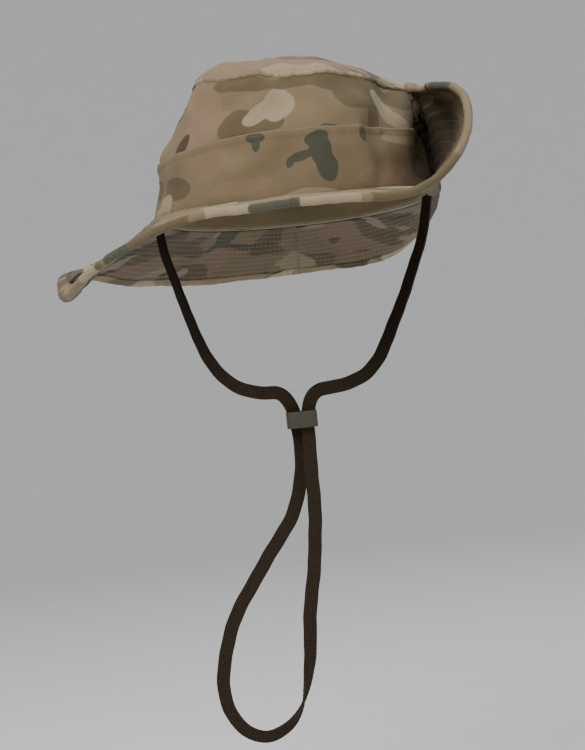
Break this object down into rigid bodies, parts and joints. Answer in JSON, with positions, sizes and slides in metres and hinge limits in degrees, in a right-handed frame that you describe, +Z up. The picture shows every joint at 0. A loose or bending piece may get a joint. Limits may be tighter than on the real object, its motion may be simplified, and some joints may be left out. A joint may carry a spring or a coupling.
{
  "type": "bucket hat",
  "caption": "Bush-style bucket hat with a domed oval crown, stitched brim that snaps up at the sides and a flat chin tape with a slider.",
  "frame": {"origin": "middle of the head opening, level with the seam between crown and brim", "axes": "+Z up the crown, -Y to the wearer's front, +X to the wearer's left"},
  "size_m": [0.2503, 0.35, 0.3828],
  "materials": {
    "camouflage_cloth": "desert blob camouflage, twill weave",
    "binding": "bias tape of the same cloth",
    "interlining": "unbleached stiffener cloth",
    "sweatband": "plain cotton tape",
    "chin_tape": "ribbed woven tape",
    "slider": "moulded, satin",
    "snap_metal": "oxidised dark lacquer"
  },
  "bodies": {
    "hat": {"brim_binding_back": "binding", "brim_binding_front": "binding", "brim_interlining_back": "interlining", "brim_interlining_front": "interlining", "brim_top_back": "camouflage_cloth", "brim_top_front": "camouflage_cloth", "brim_underside_back": "camouflage_cloth", "brim_underside_front": "camouflage_cloth", "chin_cord": "chin_tape", "crown_band_back": "camouflage_cloth", "crown_band_front": "camouflage_cloth", "crown_tip": "camouflage_cloth", "crown_wall_back": "camouflage_cloth", "crown_wall_front": "camouflage_cloth", "snap_post_left": "snap_metal", "snap_post_right": "snap_metal", "snap_stud_left": "snap_metal", "snap_stud_right": "snap_metal", "sweatband": "sweatband"},
    "left_wing": {"brim_binding_left": "binding", "brim_interlining_left": "interlining", "brim_top_left": "camouflage_cloth", "brim_underside_left": "camouflage_cloth", "snap_cap_left": "snap_metal", "snap_socket_left": "snap_metal"},
    "right_wing": {"brim_binding_right": "binding", "brim_interlining_right": "interlining", "brim_top_right": "camouflage_cloth", "brim_underside_right": "camouflage_cloth", "snap_cap_right": "snap_metal", "snap_socket_right": "snap_metal"},
    "slider": {"cord_slider": "slider"}
  },
  "joints": [
    {"name": "left_brim_fold", "type": "hinge", "parent": "hat", "child": "left_wing", "pos_m": [0.088, 0, 0], "axis": [0, 1, 0], "range_deg": [0, 105]},
    {"name": "right_brim_fold", "type": "hinge", "parent": "hat", "child": "right_wing", "pos_m": [-0.088, 0, 0], "axis": [0, 1, 0], "range_deg": [0, 130]},
    {"name": "cord_slider", "type": "slide", "parent": "hat", "child": "slider", "axis": [0, 0, 1], "range_m": [-0.015, 0]}
  ]
}
